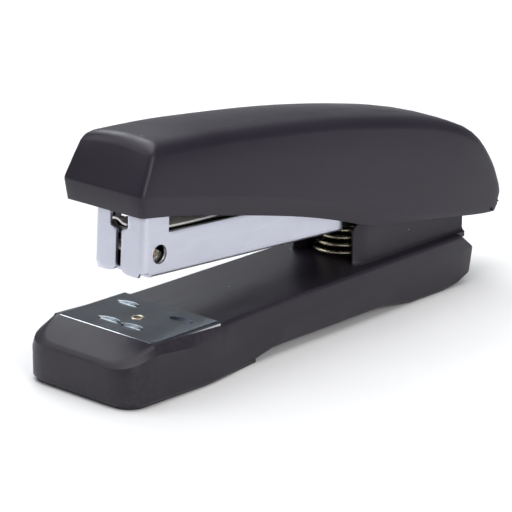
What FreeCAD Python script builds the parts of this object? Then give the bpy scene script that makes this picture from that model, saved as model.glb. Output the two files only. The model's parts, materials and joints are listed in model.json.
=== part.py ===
import FreeCAD, Part
import math
import os

import Sketcher
from FreeCAD import Placement, Rotation, Vector

# Desktop half-strip stapler, in millimetres.  +X is the stapler's left-to-right axis, -Y is the
# nose, +Z is up, and z = 0 is the surface that it stands on.  The pieces of the magazine are drawn
# about the hinge pin with the magazine level, and are then tilted up to their rest angle.  The
# pieces under the cover are drawn about the pin at mid-stroke, when the driver blade is square
# to the magazine.

doc = FreeCAD.newDocument("stapler")

# ---------------------------------------------------------------- driving dimensions
DIMENSIONS = [
    ("pivotY", 46.7, "hinge pin axis, along the stapler"),
    ("pivotZ", 26.0, "hinge pin axis, above the table"),
    ("pinRadius", 2.0, "hinge pin"),
    ("runFit", 0.05, "radial clearance of a running fit"),
    ("seatFit", 0.02, "radial clearance of a fixed fit"),
    ("magazineTilt", 3.2, "magazine at rest, nose up, degrees"),
    ("strokeAngle", 4.8, "handle travel against the magazine, degrees"),
    ("headFront", -66.1, "front face of the base"),
    ("headHalf", 16.4, "half width of the base head"),
    ("bodyHalf", 14.2, "half width of the base behind the head"),
    ("tailHalf", 13.2, "half width of the base at its rear end"),
    ("baseRear", 52.7, "rear face of the base"),
    ("padHeight", 0.8, "rubber pads stand this far below the base"),
    ("shellWall", 2.0, "wall of the base moulding"),
    ("roofUnder", 9.2, "underside of the base's top wall"),
    ("baseTop", 12.6, "top of the base behind the anvil"),
    ("anvilSeat", 11.9, "top of the base under the anvil plate"),
    ("anvilFront", -57.3, "front edge of the anvil plate"),
    ("anvilRear", -37.1, "rear edge of the anvil plate"),
    ("anvilHalf", 14.9, "half width of the anvil plate"),
    ("anvilSheet", 1.0, "thickness of the anvil plate"),
    ("anvilFlange", 1.5, "depth of the anvil's turned-down sides"),
    ("cheekInner", 8.8, "inside of the base's hinge cheeks"),
    ("cheekOuter", 10.3, "outside of the base's hinge cheeks"),
    ("springY", 21.4, "axis of the base spring"),
    ("springLow", 8.05, "coil radius of the base spring at its foot"),
    ("springHigh", 4.4, "coil radius of the base spring at its top"),
    ("springWire", 0.9, "wire of the base spring"),
    ("springRise", 6.3, "height of the base spring's coil axis"),
    ("springTurns", 4.5, "turns of the base spring"),
    ("channelHalf", 7.5, "half width of the magazine channel"),
    ("channelSheet", 0.8, "sheet of the magazine channel"),
    ("channelFloor", -7.2, "underside of the channel, from the pin"),
    ("channelTop", 2.0, "top of the channel walls, from the pin"),
    ("noseFront", -99.45, "front face of the nose, from the pin"),
    ("noseRear", -92.1, "rear edge of the tall nose walls, from the pin"),
    ("noseTop", 6.6, "top of the nose walls, from the pin"),
    ("channelRear", -35.5, "end of the channel floor, from the pin"),
    ("slotHalf", 0.8, "half width of the slot in the nose"),
    ("driverY", -97.8, "middle of the driver blade, from the pin"),
    ("railHalf", 5.6, "half width of the staple rail"),
    ("railTop", -0.6, "top of the staple rail, from the pin"),
    ("rodZ", -3.35, "guide rod axis, from the pin"),
    ("rodRadius", 0.9, "guide rod"),
    ("pusherFront", -96.2, "front of the pusher, from the pin"),
    ("pusherLength", 9.4, "length of the pusher"),
    ("blockFront", -37.4, "front of the end block, from the pin"),
    ("blockRear", -17.5, "rear of the end block, from the pin"),
    ("leafSheet", 0.5, "thickness of the return leaf spring"),
    ("frameHalf", 8.5, "half width of the handle frame"),
    ("frameSheet", 0.8, "sheet of the handle frame"),
    ("frameTop", 15.2, "top of the handle frame, from the pin"),
    ("bladeHalf", 6.3, "half width of the driver blade"),
    ("bladeSheet", 0.5, "thickness of the driver blade"),
    ("bladeFoot", -2.9, "lower edge of the driver blade, from the pin"),
    ("coverHalf", 11.9, "half width of the cover"),
    ("coverWall", 1.6, "wall of the cover"),
]

# Places of the repeated fasteners.
PLATE_SCREWS = (("-9", "-31"), ("9", "-31"), ("-8", "30"), ("8", "30"))
RAIL_RIVETS = ("-78", "-52")
FRAME_PINS = (("leaf_pin", "-45", "8.15"),)
COVER_SCREWS = (("-78", "3.3"), ("-30", "2.2"))
BLADE_RIVETS = ("-3.6", "3.6")

sheet = doc.addObject("Spreadsheet::Sheet", "Dims")
for row, (alias, value, note) in enumerate(DIMENSIONS, start=1):
    sheet.set("A%d" % row, alias)
    sheet.set("B%d" % row, str(value))
    sheet.set("C%d" % row, note)
    sheet.setAlias("B%d" % row, alias)
doc.recompute()


def dim(text):
    """The value of a sum of sheet names and numbers, such as '-headHalf + 2'."""
    names = {alias: getattr(sheet, alias) for alias, _, _ in DIMENSIONS}
    total, sign = 0.0, 1.0
    for word in str(text).replace("-", " - ").replace("+", " + ").split():
        if word in "+-":
            sign = -1.0 if word == "-" else 1.0
            continue
        factor = 1.0
        for term in word.split("*"):
            factor *= names[term] if term in names else float(term)
        total += sign * factor
        sign = 1.0
    return total


def bound(text):
    """The same sum as an expression that reads the sheet."""
    text = str(text)
    for alias, _, _ in sorted(DIMENSIONS, key=lambda entry: -len(entry[0])):
        text = text.replace(alias, "Dims." + alias)
    while "Dims.Dims." in text:
        text = text.replace("Dims.Dims.", "Dims.")
    return text


def bind(thing, **sizes):
    """Sets each property of an object from the sheet, and keeps it bound."""
    for name, text in sizes.items():
        setattr(thing, name, dim(text))
        thing.setExpression(name, bound(text))


# ---------------------------------------------------------------- sketch and feature helpers
PLANES = {"XY": "XY_Plane", "XZ": "XZ_Plane", "YZ": "YZ_Plane"}


def new_body(name):
    return doc.addObject("PartDesign::Body", name)


def new_sketch(body, plane, offset="0"):
    """A sketch on one of the body's own origin planes, moved along the plane's normal."""
    sketch = body.newObject("Sketcher::SketchObject", body.Name + "_sketch")
    role = PLANES[plane]
    sketch.AttachmentSupport = [
        (next(o for o in body.Origin.OriginFeatures if o.Role == role), "")
    ]
    sketch.MapMode = "FlatFace"
    sketch.AttachmentOffset = Placement(Vector(0, 0, dim(offset)), Rotation())
    sketch.setExpression("AttachmentOffset.Base.z", bound(offset))
    return sketch


def pin_point(sketch, geometry, end, x, y):
    """Ties a point of the sketch to the sheet, by its distances from the sketch's origin."""
    for kind, text in (("DistanceX", x), ("DistanceY", y)):
        constraint = Sketcher.Constraint(kind, -1, 1, geometry, end, dim(text))
        index = sketch.addConstraint(constraint)
        if any(letter.isalpha() for letter in str(text)):
            sketch.setExpression("Constraints[%d]" % index, bound(text))


def polygon(sketch, corners):
    """A closed outline through corners (x, y) or (x, y, radius), each tied to the sheet."""
    points = [Vector(dim(c[0]), dim(c[1]), 0) for c in corners]
    radii = [float(c[2]) if len(c) > 2 else 0.0 for c in corners]
    count = len(corners)
    starts, ends, arcs = [], [], []
    for i, corner in enumerate(points):
        back = (points[i - 1] - corner).normalize()
        ahead = (points[(i + 1) % count] - corner).normalize()
        if not radii[i]:
            starts.append(corner)
            ends.append(corner)
            arcs.append(None)
            continue
        half = back.getAngle(ahead) / 2
        reach = radii[i] / math.tan(half)
        middle = corner + (back + ahead).normalize() * (radii[i] / math.sin(half))
        starts.append(corner + back * reach)
        ends.append(corner + ahead * reach)
        arcs.append((middle, back.cross(ahead).z > 0))
    lines = [
        sketch.addGeometry(Part.LineSegment(ends[i], starts[(i + 1) % count]), False)
        for i in range(count)
    ]
    for i in range(count):
        before, after = lines[i - 1], lines[i]
        if arcs[i] is None:
            sketch.addConstraint(Sketcher.Constraint("Coincident", before, 2, after, 1))
            pin_point(sketch, after, 1, corners[i][0], corners[i][1])
            continue
        middle, clockwise = arcs[i]
        first, last = (ends[i], starts[i]) if clockwise else (starts[i], ends[i])
        angles = [math.atan2(p.y - middle.y, p.x - middle.x) for p in (first, last)]
        circle = Part.Circle(middle, Vector(0, 0, 1), radii[i])
        arc = sketch.addGeometry(Part.ArcOfCircle(circle, angles[0], angles[1]), False)
        near, far = (2, 1) if clockwise else (1, 2)
        sketch.addConstraint(Sketcher.Constraint("Tangent", before, 2, arc, near))
        sketch.addConstraint(Sketcher.Constraint("Tangent", after, 1, arc, far))
        sketch.addConstraint(Sketcher.Constraint("Radius", arc, radii[i]))
        tip = sketch.addGeometry(Part.Point(points[i]), True)
        sketch.addConstraint(Sketcher.Constraint("PointOnObject", tip, 1, before))
        sketch.addConstraint(Sketcher.Constraint("PointOnObject", tip, 1, after))
        pin_point(sketch, tip, 1, corners[i][0], corners[i][1])


def box_outline(sketch, low_x, low_y, high_x, high_y):
    polygon(sketch, [(low_x, low_y), (high_x, low_y), (high_x, high_y), (low_x, high_y)])


def circle(sketch, x, y, radius):
    shape = Part.Circle(Vector(dim(x), dim(y), 0), Vector(0, 0, 1), dim(radius))
    index = sketch.addGeometry(shape, False)
    size = sketch.addConstraint(Sketcher.Constraint("Radius", index, dim(radius)))
    sketch.setExpression("Constraints[%d]" % size, bound(radius))
    pin_point(sketch, index, 3, x, y)


def negated(text):
    """The same sum with every term's sign turned round."""
    text = str(text) if str(text)[0] in "+-" else "+" + str(text)
    return text.replace("-", "~").replace("+", "-").replace("~", "+").lstrip("+")


def mirrored(corners):
    """A half outline drawn at +x, completed with its mirror image at -x."""
    return corners + [(negated(c[0]),) + tuple(c[1:]) for c in reversed(corners)]


def pad(body, sketch, length, centred=False, reverse=False):
    feature = body.newObject("PartDesign::Pad", body.Name + "_pad")
    feature.Profile = sketch
    bind(feature, Length=length)
    feature.Midplane = centred
    feature.Reversed = reverse
    doc.recompute()
    return feature


def pocket(body, sketch, length, centred=False, reverse=False):
    """Cuts the sketch out of the body, and stops if that removes nothing."""
    before = body.Shape.Volume
    feature = body.newObject("PartDesign::Pocket", body.Name + "_pocket")
    feature.Profile = sketch
    bind(feature, Length=length)
    feature.Midplane = centred
    feature.Reversed = reverse
    doc.recompute()
    if not body.Shape.Volume < before - 1e-3:
        raise RuntimeError("%s: a pocket of %s cuts nothing: %s, %s" % (
            body.Name, length, feature.State, feature.getStatusString()))
    return feature


def soften(body, radius, wanted, kind="Fillet"):
    """Fillets or chamfers every edge of the body that the test picks by its middle and box."""
    base = body.Tip
    names = [
        "Edge%d" % number
        for number, edge in enumerate(base.Shape.Edges, start=1)
        if wanted(edge.CenterOfMass, edge.BoundBox)
    ]
    if not names:
        raise RuntimeError("%s: no edge to soften" % body.Name)
    feature = body.newObject("PartDesign::" + kind, body.Name + "_" + kind.lower())
    feature.Base = (base, names)
    if kind == "Fillet":
        feature.Radius = radius
    else:
        feature.Size = radius
    doc.recompute()
    if not feature.isValid():
        raise RuntimeError("%s: %s of %s failed" % (body.Name, kind, names))
    return feature


# ---------------------------------------------------------------- nodes and their places
NODES = {}


def at_rest(thing):
    return thing


def about_pin(thing, angle):
    """Turns a piece drawn about the hinge pin by an angle, nose up, and moves it to the pin."""
    hinge = Placement(Vector(0, sheet.pivotY, sheet.pivotZ), Rotation(Vector(1, 0, 0), -angle))
    thing.Placement = hinge.multiply(thing.Placement)
    return thing


def in_magazine(thing):
    return about_pin(thing, sheet.magazineTilt)


def in_handle(thing):
    return about_pin(thing, sheet.magazineTilt + sheet.strokeAngle / 2)


def node(name, thing, place=at_rest):
    thing.Label = name
    place(thing)
    NODES[name] = thing
    return thing


def cylinder(name, radius, height, base, axis="Z"):
    """A Part cylinder whose foot is at base and that runs along axis."""
    thing = doc.addObject("Part::Cylinder", name)
    bind(thing, Radius=radius, Height=height)
    turn = {
        "X": Rotation(Vector(0, 1, 0), 90),
        "Y": Rotation(Vector(1, 0, 0), -90),
        "Z": Rotation(),
    }[axis]
    thing.Placement = Placement(Vector(*[dim(v) for v in base]), turn)
    return thing


def block(name, low, high):
    """A Part box between two corners."""
    thing = doc.addObject("Part::Box", name)
    for side, start, end in zip(("Length", "Width", "Height"), low, high):
        back = negated(start)
        bind(thing, **{side: end + (back if back[0] == "-" else "+" + back)})
    thing.Placement.Base = Vector(*[dim(v) for v in low])
    return thing


def fuse(name, parts):
    thing = doc.addObject("Part::MultiFuse", name)
    thing.Shapes = parts
    doc.recompute()
    return thing


def cut(name, base, tools):
    """The base less each of the tools in turn."""
    tool = tools[0] if len(tools) == 1 else fuse(name + "_tools", tools)
    before = base.Shape.Volume if base.Shape.isValid() else 0
    thing = doc.addObject("Part::Cut", name)
    thing.Base, thing.Tool = base, tool
    doc.recompute()
    if before and not thing.Shape.Volume < before - 1e-4:
        raise RuntimeError("%s: a cut removes nothing" % name)
    return thing


def group(name, parts):
    """Several separate solids that share one node."""
    thing = doc.addObject("Part::Compound", name)
    thing.Links = parts
    doc.recompute()
    return thing


# ---------------------------------------------------------------- base
def base_shell():
    """Hollow moulding with a wide head, a narrower body and two hinge cheeks."""
    body = new_body("base_shell_body")
    plan = new_sketch(body, "XY", "padHeight")
    polygon(plan, mirrored([
        ("headHalf+0.1", "headFront", 5.0),
        ("headHalf", -40, 14),
        ("bodyHalf-0.2", -25, 14),
        ("bodyHalf", -14, 60),
        ("tailHalf", 40),
        ("tailHalf-0.4", "baseRear", 4.5),
    ]))
    pad(body, plan, "14-padHeight")
    above = new_sketch(body, "YZ")
    polygon(above, [
        ("headFront-3", 6.0), ("headFront", 6.0), ("headFront+0.5", 9.7, 1.5),
        ("anvilFront-0.1", "anvilSeat+0.8", 1.0),
        ("anvilFront-0.1", "anvilSeat"), ("anvilRear+0.1", "anvilSeat"), (8, "baseTop"),
        ("baseRear-4.3", "baseTop"), ("baseRear+0.1", 8.3), ("baseRear+3", 8.3),
        ("baseRear+3", 20), ("headFront-3", 20),
    ])
    pocket(body, above, "60", centred=True)
    rebates = new_sketch(body, "XZ", "-anvilRear-0.1")
    for side in (1, -1):
        box_outline(rebates, side * 13.8, "anvilSeat-anvilFlange+0.4", side * 20, 20)
    pocket(body, rebates, "anvilRear-anvilFront+0.2", reverse=True)
    arch = new_sketch(body, "YZ")
    polygon(arch, [(-24, "padHeight-1"), (-20, "padHeight+1.1", 6), (20, "padHeight+1.1", 6),
                   (29, "padHeight-1")])
    pocket(body, arch, "60", centred=True)
    heel = new_sketch(body, "YZ")
    polygon(heel, [("baseRear-8", "padHeight-1"), ("baseRear-8", "padHeight"),
                   ("baseRear+1", "padHeight+2.6"), ("baseRear+1", "padHeight-1")])
    pocket(body, heel, "60", centred=True)
    hollow = new_sketch(body, "XY", "padHeight-1")
    polygon(hollow, mirrored([
        ("headHalf-shellWall-1.0", "headFront+6", 3.0),
        ("headHalf-shellWall", -41, 10),
        ("bodyHalf-shellWall-0.5", -26, 10),
        ("tailHalf-shellWall-0.4", "baseRear-4.5", 3.0),
    ]))
    pocket(body, hollow, "roofUnder-padHeight+1", reverse=True)
    shell = body

    cheek_body = new_body("hinge_cheeks_body")
    side = new_sketch(cheek_body, "YZ")
    polygon(side, [
        (12.8, "baseTop-1.5"), (12.8, 22.6, 3), (25, 27.5, 8), (41.5, "pivotZ+5.2", 6),
         ("pivotY+4.9", "pivotZ+5.2", 4.6),
        ("pivotY+4.9", "baseTop-1.5"),
    ])
    pad(cheek_body, side, "2*cheekOuter", centred=True)
    between = new_sketch(cheek_body, "YZ")
    box_outline(between, 0, "baseTop-3", 70, 60)
    pocket(cheek_body, between, "2*cheekInner", centred=True)
    front = new_sketch(cheek_body, "XY", "baseTop-3")
    for sign in (1, -1):
        polygon(front, [(sign * 9.1, 12.0), (sign * 9.1, 12.8), (sign * 10.2, 14.6, 2.5),
                        (sign * 10.3, 17.2), (sign * 12, 17.2), (sign * 12, 12.0)])
    pocket(cheek_body, front, "60", reverse=True)
    bore = cylinder("cheek_bore", "pinRadius+seatFit", "40", ("-20", "pivotY", "pivotZ"), "X")
    post = cylinder("post_bore", "1.7", "6", ("0", "0.5*anvilFront+0.5*anvilRear", "8"))
    screws = [
        cylinder("bracket_screw_hole%d" % i, "0.92", "5", (x, "pivotY-6.7", "baseTop-4.6"))
        for i, x in enumerate(("-2.4", "2.4"))
    ]
    bosses = [
        cylinder("boss%d" % i, "2.4", "roofUnder-3.0", (x, y, "3.1"))
        for i, (x, y) in enumerate(PLATE_SCREWS)
    ]
    pilots = [
        cylinder("pilot%d" % i, "0.92", "5.2", (x, y, "3.0"))
        for i, (x, y) in enumerate(PLATE_SCREWS)
    ]
    whole = fuse("base_shell_blank", [shell, cheek_body] + bosses)
    node("base_shell", cut("base_shell_cut", whole, [bore, post] + screws + pilots))


def base_plate():
    """Steel plate that stiffens and closes the underside of the base."""
    body = new_body("base_plate_body")
    plan = new_sketch(body, "XY", "2.1")
    polygon(plan, mirrored([
        ("headHalf-shellWall-1.4", "headFront+6.4", 2.6),
        ("headHalf-shellWall-0.4", -40.5, 10),
        ("bodyHalf-shellWall-0.9", -25.5, 10),
        ("tailHalf-shellWall-0.8", "baseRear-4.9", 2.6),
    ]))
    pad(body, plan, "1.0")
    window = new_sketch(body, "XY", "2.1")
    circle(window, 0, "0.5*anvilFront+0.5*anvilRear", "6.4")
    for x, y in PLATE_SCREWS:
        circle(window, x, y, "1.25")
    pocket(body, window, "3", centred=True)
    node("base_plate", body)


def plate_screws():
    parts = []
    for i, (x, y) in enumerate(PLATE_SCREWS):
        head = cylinder("plate_head%d" % i, "2.1", "1.0", (x, y, "1.1"))
        shank = cylinder("plate_shank%d" % i, "0.9", "5.6", (x, y, "2.0"))
        recess = [
            block("plate_slot%d" % i, ("%s-1.3" % x, "%s-0.25" % y, "1.0"),
                  ("%s+1.3" % x, "%s+0.25" % y, "1.5"))
        ]
        parts.append(cut("plate_screw%d" % i, fuse("plate_blank%d" % i, [head, shank]), recess))
    node("base_plate_screws", group("base_plate_screws_group", parts))


def front_pad():
    """Rubber sole of the head, with a window for the anvil button."""
    body = new_body("front_pad_body")
    plan = new_sketch(body, "XY")
    polygon(plan, mirrored([
        ("headHalf-0.9", "headFront+1.0", 4.4),
        ("headHalf-0.9", -40.5, 12),
        ("bodyHalf-0.6", -24.5),
    ]))
    pad(body, plan, "padHeight")
    window = new_sketch(body, "XY")
    circle(window, 0, "0.5*anvilFront+0.5*anvilRear", "6.6")
    for x, y in PLATE_SCREWS[:2]:
        circle(window, x, y, "2.4")
    pocket(body, window, "4", centred=True)
    node("front_pad", body)


def rear_pad():
    body = new_body("rear_pad_body")
    plan = new_sketch(body, "XY")
    polygon(plan, mirrored([("tailHalf-0.8", 33.5, 1.5), ("tailHalf-0.8", 44.0, 1.5)]))
    pad(body, plan, "padHeight")
    node("rear_pad", body)


def hinge_bracket():
    """Bent steel bracket: a foot screwed to the base and two ears that hold the pin."""
    body = new_body("hinge_bracket_body")
    side = new_sketch(body, "YZ")
    polygon(side, [
        ("pivotY-10", "baseTop"), ("pivotY+4.6", "baseTop"),
        ("pivotY+4.6", "pivotZ+4.0", 4.4), ("pivotY-4.6", "pivotZ+4.0", 4.4),
        ("pivotY-5.2", "baseTop+3.0", 2.5), ("pivotY-10", "baseTop+2.0"),
    ])
    pad(body, side, "12.8", centred=True)
    gap = new_sketch(body, "XZ", "-70")
    polygon(gap, [(-5.4, "baseTop+1.0", 1.0), (5.4, "baseTop+1.0", 1.0), (5.4, 40), (-5.4, 40)])
    pocket(body, gap, "60", reverse=True)
    holes = new_sketch(body, "XY", "baseTop")
    for x in ("-2.4", "2.4"):
        circle(holes, x, "pivotY-6.7", "1.15")
    pocket(body, holes, "6", centred=True)
    bore = new_sketch(body, "YZ")
    circle(bore, "pivotY", "pivotZ", "pinRadius+seatFit")
    pocket(body, bore, "30", centred=True)
    node("hinge_bracket", body)


def bracket_screws():
    parts = []
    for i, x in enumerate(("-2.4", "2.4")):
        head = cylinder("bracket_head%d" % i, "1.9", "1.2", (x, "pivotY-6.7", "baseTop+1.0"))
        shank = cylinder("bracket_shank%d" % i, "0.9", "5.2", (x, "pivotY-6.7", "baseTop-4.2"))
        slot = block("bracket_slot%d" % i, ("%s-1.2" % x, "pivotY-6.9", "baseTop+1.7"),
                     ("%s+1.2" % x, "pivotY-6.5", "baseTop+2.4"))
        parts.append(cut("bracket_screw%d" % i, fuse("bracket_blank%d" % i, [head, shank]), [slot]))
    node("bracket_screws", group("bracket_screws_group", parts))


def pivot_pin():
    pin = cylinder("pivot_pin_rod", "pinRadius", "2*cheekOuter-0.2",
                   ("-cheekOuter+0.1", "pivotY", "pivotZ"), "X")
    node("pivot_pin", pin)
    rings = []
    for i, x in enumerate(("-5.2", "4.4")):
        ring = cylinder("clip_ring%d" % i, "3.5", "0.8", (x, "pivotY", "pivotZ"), "X")
        start = ("%s-0.5" % x, "pivotY", "pivotZ")
        hole = cylinder("clip_hole%d" % i, "pinRadius+seatFit", "2", start, "X")
        mouth = block("clip_mouth%d" % i, ("%s-0.5" % x, "pivotY-1.2", "pivotZ"),
                      ("%s+1.5" % x, "pivotY+1.2", "pivotZ+5"))
        rings.append(cut("pivot_clip%d" % i, ring, [hole, mouth]))
    node("pivot_clips", group("pivot_clips_group", rings))


def coil(name, turns, low_radius, high_radius, rise, wire, base, axis):
    """A round wire wound on a straight or tapering axis."""
    cone = math.degrees(math.atan2(high_radius - low_radius, rise))
    path = Part.makeHelix(rise / turns, rise, low_radius, cone)
    start = path.Edges[0].Vertexes[0].Point
    tangent = path.Edges[0].tangentAt(path.Edges[0].FirstParameter)
    section = Part.Wire([Part.makeCircle(wire / 2, start, tangent)])
    shape = Part.Wire(path.Edges).makePipeShell([section], True, True)
    thing = doc.addObject("Part::Feature", name)
    thing.Shape = shape
    thing.Placement = Placement(base, Rotation(Vector(0, 0, 1), axis))
    return thing


def base_spring():
    """Conical coil that lifts the magazine off the anvil."""
    foot = sheet.baseTop + sheet.springWire / 2 + 0.06
    spring = coil("base_spring_coil", sheet.springTurns, sheet.springLow, sheet.springHigh,
                  sheet.springRise, sheet.springWire, Vector(0, sheet.springY, foot),
                  Vector(0, 0, 1))
    node("base_spring", spring)


# ---------------------------------------------------------------- anvil
def anvil_plate():
    """Chromed plate with turned-down sides and two pairs of clinching grooves."""
    body = new_body("anvil_plate_body")
    section = new_sketch(body, "XZ", "-anvilRear")
    polygon(section, [
        ("-anvilHalf", "anvilSeat-anvilFlange+0.5"), ("-anvilHalf+anvilSheet", "anvilSeat-anvilFlange+0.5"),
        ("-anvilHalf+anvilSheet", "anvilSeat"), ("anvilHalf-anvilSheet", "anvilSeat"),
        ("anvilHalf-anvilSheet", "anvilSeat-anvilFlange+0.5"), ("anvilHalf", "anvilSeat-anvilFlange+0.5"),
        ("anvilHalf", "anvilSeat+anvilSheet", 0.9), ("-anvilHalf", "anvilSeat+anvilSheet", 0.9),
    ])
    pad(body, section, "anvilRear-anvilFront")
    hole = new_sketch(body, "XY", "anvilSeat")
    circle(hole, 0, "0.5*anvilFront+0.5*anvilRear", "1.6")
    pocket(body, hole, "6", centred=True)
    grooves = []
    for x, y, radius in ((3.5, -52.4, 4.2), (7.9, -42.0, 4.2)):
        for side in (-1, 1):
            grooves.append(doc.addObject("Part::Torus", "groove"))
            grooves[-1].Radius1, grooves[-1].Radius2 = radius, 0.62
            lift = sheet.anvilSeat + sheet.anvilSheet + radius - 0.25
            grooves[-1].Placement = Placement(Vector(side * x, y, lift), Rotation(Vector(1, 0, 0), 90))
    node("anvil_plate", cut("anvil_plate_cut", body, grooves))


def anvil_post():
    """Brass post riveted into the plate, with the push button on its lower end."""
    y = "0.5*anvilFront+0.5*anvilRear"
    head = cylinder("post_head", "1.55", "anvilSheet+0.1", ("0", y, "anvilSeat"))
    stem = cylinder("post_stem", "1.55", "anvilSeat-2.0", ("0", y, "2.0"))
    node("anvil_post", fuse("anvil_post_fuse", [head, stem]))
    cap = cylinder("button_cap", "5.9", "1.9", ("0", y, "0.5"))
    hub = cylinder("button_hub", "2.6", "2.1", ("0", y, "2.3"))
    socket = cylinder("button_socket", "1.55+seatFit", "4", ("0", y, "1.98"))
    node("anvil_button", cut("anvil_button_cut", fuse("button_blank", [cap, hub]), [socket]))


def anvil_spring():
    """Pulls the anvil down on the base; it is squeezed when the button is pushed."""
    wire = 0.45
    foot, roof = 2.4 + wire / 2 + 0.05, sheet.roofUnder - wire / 2 - 0.05
    centre = Vector(0, (sheet.anvilFront + sheet.anvilRear) / 2, foot)
    node("anvil_spring", coil("anvil_spring_coil", 6, 3.3, 3.3, roof - foot, wire, centre,
                              Vector(0, 0, 1)))


# ---------------------------------------------------------------- magazine
def magazine_channel():
    """Plated steel channel: floor, side walls, a folded nose and two arms back to the pin."""
    body = new_body("magazine_channel_body")
    side = new_sketch(body, "YZ")
    polygon(side, [
        ("noseFront", "channelFloor"), ("channelRear", "channelFloor", 1.6),
        ("channelRear", -3.3, 1.0), (4.2, -3.5, 2.8), (4.2, "channelTop+1.5", 2.8),
        (-6, "channelTop", 8), ("noseRear", "channelTop", 0.8), ("noseRear", "noseTop", 0.6),
        ("noseFront", "noseTop"),
    ])
    pad(body, side, "2*channelHalf", centred=True)
    soften(body, 1.5, lambda c, b: abs(abs(c.x) - sheet.channelHalf) < 0.01
           and b.YLength < 0.01 and c.y < sheet.noseFront + 0.01)
    inside = new_sketch(body, "XZ", "-noseFront-channelSheet")
    box_outline(inside, "-channelHalf+channelSheet", "channelFloor+channelSheet",
                "channelHalf-channelSheet", 30)
    pocket(body, inside, "200", reverse=False)
    behind = new_sketch(body, "XZ", "-blockFront")
    box_outline(behind, "-channelHalf+channelSheet", "channelFloor-1",
                "channelHalf-channelSheet", 30)
    pocket(body, behind, "200", reverse=False)
    exit_slot = new_sketch(body, "XY", "channelFloor")
    box_outline(exit_slot, "-channelHalf+channelSheet", "noseFront+channelSheet",
                "channelHalf-channelSheet", "noseFront+channelSheet+1.9")
    pocket(body, exit_slot, "3", centred=True)
    face = new_sketch(body, "XZ", "-noseFront+1")
    polygon(face, mirrored([
        ("slotHalf", "channelFloor-1"), ("slotHalf", 2.4), (2.65, 3.1, 0.8), (2.65, "noseTop+1"),
    ]))
    pocket(body, face, "1.9+channelSheet")
    corner = new_sketch(body, "XZ", "-noseFront+1")
    for sign in ("-", ""):
        polygon(corner, [
            (sign + "slotHalf", "channelFloor-1"), (sign + "slotHalf", "channelFloor"),
            (sign + "2.6", "channelFloor+1.3", 2.0), (sign + "4.4", "channelFloor"),
            (sign + "4.4", "channelFloor-1"),
        ])
    pocket(body, corner, "1.9")
    holes = new_sketch(body, "YZ")
    circle(holes, -94.6, -2.4, "2.1")
    circle(holes, 0, 0, "pinRadius+runFit")
    circle(holes, -33, 0, "1.22")
    pocket(body, holes, "40", centred=True)
    rivets = new_sketch(body, "XY", "channelFloor")
    for y in RAIL_RIVETS:
        circle(rivets, 0, y, "1.22")
    pocket(body, rivets, "3", centred=True)
    node("magazine_channel", body, in_magazine)


def staple_rail():
    """Inverted channel that the staples ride on, slotted along its top for the pusher."""
    body = new_body("staple_rail_body")
    section = new_sketch(body, "XZ", "-blockFront+0.3")
    polygon(section, [
        ("-railHalf", "channelFloor+channelSheet"), ("-railHalf+0.7", "channelFloor+channelSheet"),
        ("-railHalf+0.7", "railTop-0.7"), ("railHalf-0.7", "railTop-0.7"),
        ("railHalf-0.7", "channelFloor+channelSheet"), ("railHalf", "channelFloor+channelSheet"),
        ("railHalf", "railTop", 0.6), ("-railHalf", "railTop", 0.6),
    ])
    pad(body, section, "59.0")
    for y in RAIL_RIVETS:
        tab = new_sketch(body, "XY", "channelFloor+channelSheet")
        box_outline(tab, "-railHalf+0.3", "%s-2.2" % y, "railHalf-0.3", "%s+2.2" % y)
        pad(body, tab, "0.6")
    drill = new_sketch(body, "XY", "channelFloor")
    for y in RAIL_RIVETS:
        circle(drill, 0, y, "1.22")
    pocket(body, drill, "6", centred=True)
    slot = new_sketch(body, "XY", "railTop")
    box_outline(slot, -1.4, -93.5, 1.4, "blockFront-1.4")
    pocket(body, slot, "2", centred=True)
    bore = new_sketch(body, "YZ")
    circle(bore, -94.6, -2.4, "1.62")
    pocket(body, bore, "40", centred=True)
    node("staple_rail", body, in_magazine)


def rail_fixings():
    pin = cylinder("rail_pin_rod", "1.6", "2*railHalf", ("-railHalf", "-94.6", "-2.4"), "X")
    node("rail_pin", pin, in_magazine)
    parts = []
    for i, y in enumerate(RAIL_RIVETS):
        shank = cylinder("rivet_shank%d" % i, "1.2", "1.7", ("0", y, "channelFloor-0.1"))
        head = cylinder("rivet_head%d" % i, "2.0", "0.4", ("0", y, "channelFloor-0.4"))
        tail = cylinder("rivet_tail%d" % i, "1.9", "0.3", ("0", y, "channelFloor+channelSheet+0.6"))
        parts.append(fuse("rail_rivet%d" % i, [shank, head, tail]))
    node("rail_rivets", group("rail_rivets_group", parts), in_magazine)


def guide_rod():
    rod = cylinder("guide_rod_bar", "rodRadius", "74.0", ("0", "-92.6", "rodZ"), "Y")
    node("guide_rod", rod, in_magazine)


def pusher_spring():
    wire = 0.45
    start = sheet.pusherFront + sheet.pusherLength + wire / 2 + 0.1
    length = -22.6 - start
    spring = coil("pusher_spring_coil", 36, 1.8, 1.8, length, wire, Vector(0, start, sheet.rodZ),
                  Vector(0, 1, 0))
    node("pusher_spring", spring, in_magazine)


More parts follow.
